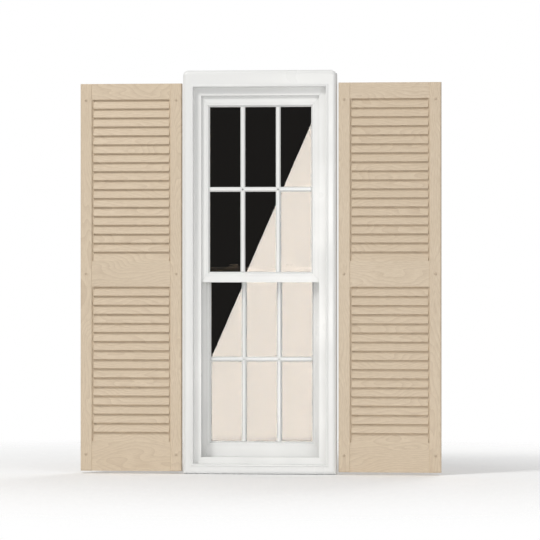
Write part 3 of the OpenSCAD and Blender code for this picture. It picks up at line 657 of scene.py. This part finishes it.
track_front = frame_front + FRONT_STOP_T
parting_back = parting_front + STOP_T
front_stop = [(outer, 0, frame_front), (opening, 0, frame_front), (opening, 0, track_front)]
middle_stop = [(parting, 0, parting_front), (parting, 0, parting_back)]
back_stop = [(track, 0, stop_front), (opening, 0, stop_front), (opening, 0, frame_back),
             (outer, 0, frame_back)]
track_start = [(track, 0, track_front)]
parting_sides = ([(track, 0, parting_front)], [(track, 0, parting_back)])
jamb = (front_stop + track_start + jamb_pocket(upper_front) + parting_sides[0] + middle_stop
        + parting_sides[1] + jamb_pocket(lower_front) + back_stop)
head = front_stop + track_start + parting_sides[0] + middle_stop + parting_sides[1] + back_stop
sill = (front_stop + [(track, -1.5, track_front), (opening, 1, parting_front)]
        + middle_stop + parting_sides[1] + back_stop)

bm = bmesh.new()
add_bars(bm, jamb, ("left", "right"))
add_bars(bm, head, ("top",))
add_bars(bm, sill, ("bottom",))
piece(bm, "frame_bars", "white_vinyl", "wall_set", ["main_frame"], 0.8)

# %% [markdown]
# The nailing fin is a thin flange with a column of screw holes on each side. Its
# outline and its holes are drawn as edges in one plane, filled, and then given the
# fin's thickness.

# %% Nailing fin
FIN_THICKNESS = 2.0
LOWEST_HOLE, HOLE_PITCH, HOLES = -647.5, 259.0, 6
HOLE_X = outer[0] + 18.0
HOLE_RADIUS = 2.5


def add_loop(bm, points):
    """A closed loop of edges through points in mm; returns the edges."""
    verts = [bm.verts.new(Vector(p) * MM) for p in points]
    return [bm.edges.new((verts[i - 1], verts[i])) for i in range(len(verts))]


def circle_points(x, y, z, radius, count=16):
    """Points of an upright circle that faces the front."""
    return [(x + radius * math.cos(2 * math.pi * i / count), y,
             z + radius * math.sin(2 * math.pi * i / count)) for i in range(count)]


def fill_and_extrude(bm, edges, shift):
    """Fills the flat loops in edges and extrudes them by shift, in mm."""
    made = bmesh.ops.triangle_fill(bm, use_beauty=True, edges=edges)
    flat = [g for g in made["geom"] if isinstance(g, bmesh.types.BMFace)]
    grown = bmesh.ops.extrude_face_region(bm, geom=flat, use_keep_orig=True)
    moved = [g for g in grown["geom"] if isinstance(g, bmesh.types.BMVert)]
    bmesh.ops.translate(bm, verts=moved, vec=Vector(shift) * MM)


bm = bmesh.new()
edges = []
for half, low, high in (fin, (outer[0] - 1, outer[1] + 1, outer[2] - 1)):
    edges += add_loop(bm, [(-half, -FIN_THICKNESS, low), (half, -FIN_THICKNESS, low),
                           (half, -FIN_THICKNESS, high), (-half, -FIN_THICKNESS, high)])
for side in (-1, 1):
    for row in range(HOLES):
        z = LOWEST_HOLE + HOLE_PITCH * row
        edges += add_loop(bm, circle_points(side * HOLE_X, -FIN_THICKNESS, z, HOLE_RADIUS))
fill_and_extrude(bm, edges, (0, FIN_THICKNESS, 0))
piece(bm, "frame_fin", "white_vinyl", "wall_set")

# %% [markdown]
# ### Sashes
# A sash is a welded ring with a rebate for the sealed pane. The glazing bead closes the
# rebate with a slope towards the glass, and the grille's bars stand on the outer pane.

# %% Sash rings and beads
LEDGE_LOW, LEDGE_TOP = -21.5, 14.5
LIFT_HALF, LIFT_RISE = 193, 34
REBATE_WIDTH = 13.0
REBATE_BACK = 27.0
PANE_FRONT = 9.0


def grown(rect, out):
    """A rectangle moved outwards on all sides."""
    return (rect[0] + out, rect[1] - out, rect[2] + out)


def sash_section(sash, glass, front):
    """A rail or stile of a sash, with the rebate that holds the sealed pane."""
    rebate = grown(glass, REBATE_WIDTH)
    shelf, back = front + REBATE_BACK, front + SASH_DEPTH
    return [(sash, 0, front), (rebate, 0, front), (rebate, 0, shelf),
            (glass, 0, shelf), (glass, 0, back), (sash, 0, back)]


def bead_section(glass, front):
    """The glazing bead, which slopes towards the pane."""
    return [(glass, 0, front + PANE_FRONT), (glass, 0, front + 7), (glass, 7, front),
            (glass, REBATE_WIDTH, front), (glass, REBATE_WIDTH, front + PANE_FRONT)]


for level, sash, glass, front in (("upper", upper_sash, upper_glass, upper_front),
                                  ("lower", lower_sash, lower_glass, lower_front)):
    bm = bmesh.new()
    add_bars(bm, sash_section(sash, glass, front))
    if level == "upper":
        low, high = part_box("meeting_rail_pile")
        add_box(bm, (low.x / MM, front + REBATE_BACK, LEDGE_LOW),
                (high.x / MM, low.y / MM, LEDGE_TOP))
    else:
        lift = [(-1, 0), (12, 3), (12, 8), (9, 8), (9, 6), (-1, 4)]
        ends = [[(x, front + SASH_DEPTH + y, sash[1] + LIFT_RISE + z) for y, z in lift]
                for x in (-LIFT_HALF, LIFT_HALF)]
        add_prism(bm, *ends)
    piece(bm, f"{level}_sash_ring", "white_vinyl", f"{level}_sash",
          [f"{level}_sash_frame"], 0.9)
    bm = bmesh.new()
    add_bars(bm, bead_section(glass, front))
    piece(bm, f"{level}_bead_ring", "white_vinyl", f"{level}_sash",
          [f"{level}_glazing_bead"], 0.5)

# %% [markdown]
# Two upright bars and one level bar divide each sash into six lights. A bar is a
# flattened half hexagon that stands on the outer pane.

# %% Grille bars
BAR_WIDTH = 17.0
bar = [(-8.5, 0.0), (-8.5, -2.5), (-3.5, -7.0), (3.5, -7.0), (8.5, -2.5), (8.5, 0.0)]

for level, glass, front in (("upper", upper_glass, upper_front),
                            ("lower", lower_glass, lower_front)):
    bm = bmesh.new()
    pane = front + PANE_FRONT
    offset = (2 * glass[0] + BAR_WIDTH) / 6
    middle = (glass[1] + glass[2]) / 2
    for x in (-offset, offset):
        add_prism(bm, *[[(x + u, pane + v, z) for u, v in bar] for z in glass[1:]])
    add_prism(bm, *[[(x, pane + v, middle + u) for u, v in bar] for x in (-glass[0], glass[0])])
    piece(bm, f"{level}_bars", "white_vinyl", f"{level}_sash", [f"{level}_grille"], 0.7)

# %% [markdown]
# ### Casing
# The casing's section has a generous round along its outer edge, a flat face and a
# half-round bead along its inner edge. Legs, head and sill meet in mitres, so the bead
# runs on round all four corners. The head's two top corners are rounded in plan, which
# the head's section follows round an arc.

# %% Casing section
CASING_ROUND = 14.0
CASING_WALL = 3.0
CASING_BEAD = 5.0
CORNER_RADIUS = 18.0

casing_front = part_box("casing_head")[0].y / MM
casing_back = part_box("casing_head")[1].y / MM
casing_face = casing_front + 2.5
left_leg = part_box("casing_left_leg")
head_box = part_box("casing_head")
sill_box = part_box("casing_sill")
casing_out = (head_box[1].x / MM, sill_box[0].z / MM, head_box[1].z / MM)
casing_in = (-left_leg[1].x / MM, sill_box[1].z / MM, head_box[0].z / MM)


def arc(centre, radius, start, end, steps):
    """Points of an arc in a plane, from one bearing to another, in degrees."""
    turns = [math.radians(start + (end - start) * i / steps) for i in range(steps + 1)]
    return [(centre[0] + radius * math.cos(t), centre[1] + radius * math.sin(t)) for t in turns]


round_centre = (-CASING_ROUND, casing_face + CASING_ROUND)
outer_round = arc(round_centre, CASING_ROUND, 0, -90, 10)
inner_round = arc(round_centre, CASING_ROUND - CASING_WALL, -90, 0, 8)
bead_arc = arc((CASING_BEAD, casing_front + CASING_BEAD), CASING_BEAD, -30, -180, 10)
casing_section = (
    [(casing_out, 0, casing_back)] + [(casing_out, u, y) for u, y in outer_round]
    + [(casing_in, u, y) for u, y in bead_arc]
    + [(casing_in, 0, frame_front), (casing_in, CASING_WALL, frame_front),
       (casing_in, CASING_WALL, casing_face + CASING_WALL)]
    + [(casing_out, u, y) for u, y in inner_round]
    + [(casing_out, -CASING_WALL, casing_back)]
)
print("section points:", len(casing_section))

# %% Casing ring
CORNER_STEPS = 8


def rounded_corner(section, x_sign, steps):
    """The section's loops round an upper corner, from the side towards the top."""
    loops = []
    for i in range(steps + 1):
        turn = math.radians(90 * i / steps)
        loop = []
        for rect, out, y in section:
            if rect is casing_out:
                reach = CORNER_RADIUS + out
                x = rect[0] - CORNER_RADIUS + reach * math.cos(turn)
                z = rect[2] - CORNER_RADIUS + reach * math.sin(turn)
            else:
                x, z = rect[0] + out, rect[2] + out
            loop.append((x_sign * x, y, z))
        loops.append(loop)
    return loops


loops = [at_corner(casing_section, -1, 0)]
loops += rounded_corner(casing_section, -1, CORNER_STEPS)
loops += rounded_corner(casing_section, 1, CORNER_STEPS)[::-1]
loops += [at_corner(casing_section, 1, 0)]
bm = bmesh.new()
rows = [[bm.verts.new(Vector(p) * MM) for p in loop] for loop in loops]
for i in range(len(rows)):
    before, after = rows[i - 1], rows[i]
    for j in range(len(after)):
        bm.faces.new((before[j - 1], after[j - 1], after[j], before[j]))
bmesh.ops.remove_doubles(bm, verts=bm.verts, dist=1e-6)
bmesh.ops.dissolve_degenerate(bm, dist=1e-6, edges=bm.edges)
piece(bm, "casing_ring", "white_vinyl", "wall_set",
      ["casing_head", "casing_sill", "casing_left_leg", "casing_right_leg"])

# %% [markdown]
# ### Screws
# Each head is a low dome with a cross recess. The dome is a stack of circles joined by
# quads, and the recess is a plus-shaped hole in its top, filled further down.

# %% Screw heads
HEAD_SEGMENTS = 24
ARM_SHARE = 0.13
RECESS_SHARE = 0.6
PLUS = [(1, 3), (-1, 3), (-1, 1), (-3, 1), (-3, -1), (-1, -1),
        (-1, -3), (1, -3), (1, -1), (3, -1), (3, 1), (1, 1)]


def screw_head(radius, height):
    """A mesh of a domed cross-recess head that stands on the origin and faces +Z."""
    head = bmesh.new()
    profile = [(1.0, 0.0), (0.98, 0.35), (0.88, 0.68), (0.72, 0.88), (0.56, 1.0)]
    rings = []
    for share, rise in profile:
        made = bmesh.ops.create_circle(head, cap_ends=False,
                                       segments=HEAD_SEGMENTS, radius=share * radius * MM)
        bmesh.ops.translate(head, verts=made["verts"], vec=(0, 0, rise * height * MM))
        rings.append(made["verts"])
    rim = [e for e in head.edges if all(v in rings[-1] for v in e.verts)]
    for low, high in zip(rings, rings[1:]):
        for i in range(HEAD_SEGMENTS):
            head.faces.new((low[i - 1], low[i], high[i], high[i - 1]))
    arm = ARM_SHARE * radius
    hole = add_loop(head, [(x * arm, y * arm, height) for x, y in PLUS])
    bmesh.ops.triangle_fill(head, use_beauty=True, edges=rim + hole)
    walls = bmesh.ops.extrude_edge_only(head, edges=hole)
    sunk = [g for g in walls["geom"] if isinstance(g, bmesh.types.BMVert)]
    bmesh.ops.translate(head, verts=sunk, vec=(0, 0, -RECESS_SHARE * height * MM))
    bottom = [g for g in walls["geom"] if isinstance(g, bmesh.types.BMEdge)
              and all(v in sunk for v in g.verts)]
    bmesh.ops.triangle_fill(head, use_beauty=True, edges=bottom)
    mesh = bpy.data.meshes.new("screw_head")
    head.to_mesh(mesh)
    head.free()
    return mesh


def add_copy(bm, mesh, place, rotation):
    """Adds a copy of mesh to bm, turned by rotation and moved to place, in mm."""
    copy = mesh.copy()
    copy.transform(Matrix.Translation(Vector(place) * MM) @ rotation)
    bm.from_mesh(copy)
    bpy.data.meshes.remove(copy)


TO_FRONT = Matrix.Rotation(math.radians(90), 4, "X")
TO_TOP = Matrix.Identity(4)


def add_rod(bm, start, end, radius, segments=16):
    """A closed round rod between two points, in mm."""
    axis = Vector(end) - Vector(start)
    turn = axis.to_track_quat("Z", "Y").to_matrix().to_4x4()
    place = Matrix.Translation((Vector(start) + axis / 2) * MM) @ turn
    bmesh.ops.create_cone(bm, cap_ends=True, segments=segments, radius1=radius * MM,
                          radius2=radius * MM, depth=axis.length * MM, matrix=place)


# %% Shutter screws
SCREW_INSET, SCREW_END, SCREW_MIDDLE = 20, 60, 711
SHANK, THREAD, TIP = 2.1, 2.3, 0.5
THREAD_LENGTH, POINT_LENGTH = 26, 4

for side in ("left", "right"):
    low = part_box(f"{side}_shutter_screws")[0]
    shutter_low, shutter_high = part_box(f"{side}_shutter")
    face = shutter_low.y / MM
    foot, crown = shutter_low.z / MM, shutter_high.z / MM
    heights = (foot + SCREW_END, foot + SCREW_MIDDLE, crown - SCREW_END)
    head_mesh = screw_head(4.6, face - low.y / MM)
    bm = bmesh.new()
    for x in (shutter_low.x / MM + SCREW_INSET, shutter_high.x / MM - SCREW_INSET):
        for z in heights:
            add_copy(bm, head_mesh, (x, face, z), TO_FRONT)
            add_rod(bm, (x, face, z), (x, 0, z), SHANK)
            add_rod(bm, (x, 0, z), (x, THREAD_LENGTH, z), THREAD)
            middle = Vector((x, THREAD_LENGTH + POINT_LENGTH / 2, z)) * MM
            bmesh.ops.create_cone(bm, cap_ends=True, segments=16, radius1=TIP * MM,
                                  radius2=THREAD * MM, depth=POINT_LENGTH * MM,
                                  matrix=Matrix.Translation(middle) @ TO_FRONT)
    piece(bm, f"{side}_painted_screws", "screw_paint", "wall_set", [f"{side}_shutter_screws"])

# %% [markdown]
# ### Sash locks
# A lock is a cast base with a cam that turns on it. The cam's curved hook swings behind
# the keeper on the upper sash. Each part is an outline that is filled, extruded and
# softened; the right lock mirrors the left one.

# %% Lock outlines
LOCK_X, LOCK_Y = 95.0, 45.0
LOCK_Z = lower_sash[2]
BASE_TOP = LOCK_Z + 6.0
CAM_LOW = BASE_TOP + 0.3
HUB = 9.0
PLATE_T, CAM_T = 3, 5
KEEPER_HALF, KEEPER_T, LIP_HEIGHT = 20, 2, 16
HOOK_ROOT = 118


def bearing(radius, degrees):
    """A point at a bearing from the lock's pivot: 0 is -Y and bearings grow towards +X."""
    turn = math.radians(degrees)
    return (radius * math.sin(turn), -radius * math.cos(turn))


def sector_points(r0, r1, start, end, steps=12):
    """Outline of a ring's sector between two radii and two bearings."""
    turns = [start + (end - start) * i / steps for i in range(steps + 1)]
    return [bearing(r1, t) for t in turns] + [bearing(r0, t) for t in turns[::-1]]


def stadium_points(length, width, steps=10):
    """Outline of a bar with round ends."""
    shift = (length - width) / 2
    right = arc((shift, 0), width / 2, -90, 90, steps)
    return right + [(-x, -y) for x, y in right]


def add_plate(bm, outline, mirror, low, high):
    """Extrudes a flat outline about the lock's pivot from one height to another."""
    points = [(mirror * (LOCK_X + x), LOCK_Y + y) for x, y in outline]
    add_prism(bm, [(*p, low) for p in points], [(*p, high) for p in points])


print("lock pivot at", LOCK_X, LOCK_Y, LOCK_Z)

# %% Locks and keepers
lever = [(0, -4.5), (24, -4.5)] + arc((24, 0), 4.5, -80, 80, 10) + [(24, 4.5), (0, 4.5)]
lever = [(-y, x) for x, y in lever]
arm_corners = ((6, -26), (22.4, -7.5), (22.4, 7.5), (6, 26))
hook_arm = [bearing(r, HOOK_ROOT + t) for r, t in arm_corners]

for side, mirror in (("left", -1), ("right", 1)):
    bm = bmesh.new()
    add_plate(bm, stadium_points(56, 20), mirror, LOCK_Z, LOCK_Z + PLATE_T)
    add_plate(bm, arc((0, 0), HUB, 0, 350, 35), mirror, LOCK_Z, BASE_TOP)
    piece(bm, f"{side}_lock_plate", "lock_paint", "lower_sash", [f"{side}_lock_base"], 0.6)
    bm = bmesh.new()
    add_plate(bm, arc((0, 0), HUB - 0.5, 0, 350, 35), mirror, CAM_LOW, CAM_LOW + CAM_T)
    add_plate(bm, arc((0, 0), 2.9, 0, 340, 17), mirror, CAM_LOW - 6, CAM_LOW)
    add_plate(bm, sector_points(20, 23.4, 55, 123), mirror, CAM_LOW, CAM_LOW + CAM_T)
    add_plate(bm, hook_arm, mirror, CAM_LOW, CAM_LOW + 4.6)
    add_plate(bm, lever, mirror, CAM_LOW + 0.6, CAM_LOW + 4.8)
    piece(bm, f"{side}_lock_lever", "lock_paint", f"{side}_lock", [f"{side}_lock_cam"], 0.7)
    bm = bmesh.new()
    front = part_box(f"{side}_keeper")[0].y / MM
    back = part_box("upper_sash_frame")[1].y / MM
    x = mirror * LOCK_X
    add_box(bm, (x - KEEPER_HALF, front, LEDGE_TOP),
            (x + KEEPER_HALF, back, LEDGE_TOP + KEEPER_T))
    add_plate(bm, sector_points(17.6, 19.4, -18, 18), mirror, LEDGE_TOP,
              LEDGE_TOP + LIP_HEIGHT)
    piece(bm, f"{side}_strike", "lock_paint", "upper_sash", [f"{side}_keeper"], 0.4)

# %% [markdown]
# The locks and keepers are each held by two small plated screws, with the same head as
# the shutters' screws at a smaller size.

# %% Small screws
LOCK_SCREW_X, KEEPER_SCREW_X = 21, 15
lock_head = screw_head(3.3, 1.6)
keeper_head = screw_head(2.3, 1.3)
keeper_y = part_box("upper_sash_frame")[1].y / MM - 3.0

bm = bmesh.new()
for mirror in (-1, 1):
    for x in (LOCK_X - LOCK_SCREW_X, LOCK_X + LOCK_SCREW_X):
        top = (mirror * x, LOCK_Y, LOCK_Z + PLATE_T)
        add_copy(bm, lock_head, top, TO_TOP)
        add_rod(bm, (mirror * x, LOCK_Y, LOCK_Z - 2.5), top, 1.7)
piece(bm, "lock_cross_screws", "plated_steel", "lower_sash", ["lock_screws"])

bm = bmesh.new()
for mirror in (-1, 1):
    for x in (LOCK_X - KEEPER_SCREW_X, LOCK_X + KEEPER_SCREW_X):
        top = (mirror * x, keeper_y, LEDGE_TOP + KEEPER_T)
        add_copy(bm, keeper_head, top, TO_TOP)
        add_rod(bm, (mirror * x, keeper_y, LEDGE_TOP - 8), top, 1.3)
piece(bm, "keeper_cross_screws", "plated_steel", "upper_sash", ["keeper_screws"])

# %% [markdown]
# ### Balances
# The rod of a spiral balance is a flat strip twisted along its length. A small
# rectangle is copied up the rod, turned a little more each time, and its copies are
# joined by quads.

# %% Twisted balance rods
STRIP = [(-2.1, -0.7), (2.1, -0.7), (2.1, 0.7), (-2.1, 0.7)]
TWIST_PITCH = 36.0
RING_STEP = 4.0


def add_twisted_strip(bm, x, y, low, high):
    """A flat strip at (x, y) that turns evenly from one height to another, in mm."""
    count = int((high - low) / RING_STEP)
    rows = []
    for i in range(count + 1):
        z = low + (high - low) * i / count
        turn = 2 * math.pi * (z - low) / TWIST_PITCH
        c, s = math.cos(turn), math.sin(turn)
        rows.append([bm.verts.new(Vector((x + u * c - v * s, y + u * s + v * c, z)) * MM)
                     for u, v in STRIP])
    for before, after in zip(rows, rows[1:]):
        for j in range(4):
            bm.faces.new((before[j - 1], before[j], after[j], after[j - 1]))
    bm.faces.new(rows[0][::-1])
    bm.faces.new(rows[-1])


BALANCE_INSET = 10.0
balance_x = track[0] + BALANCE_INSET
for level in ("upper", "lower"):
    low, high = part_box(f"{level}_balance_rods")
    y = (low.y + high.y) / 2 / MM
    bm = bmesh.new()
    for side in (-1, 1):
        add_twisted_strip(bm, side * balance_x, y, low.z / MM, high.z / MM)
    piece(bm, f"{level}_twisted_rods", "plated_steel", f"{level}_sash",
          [f"{level}_balance_rods"])
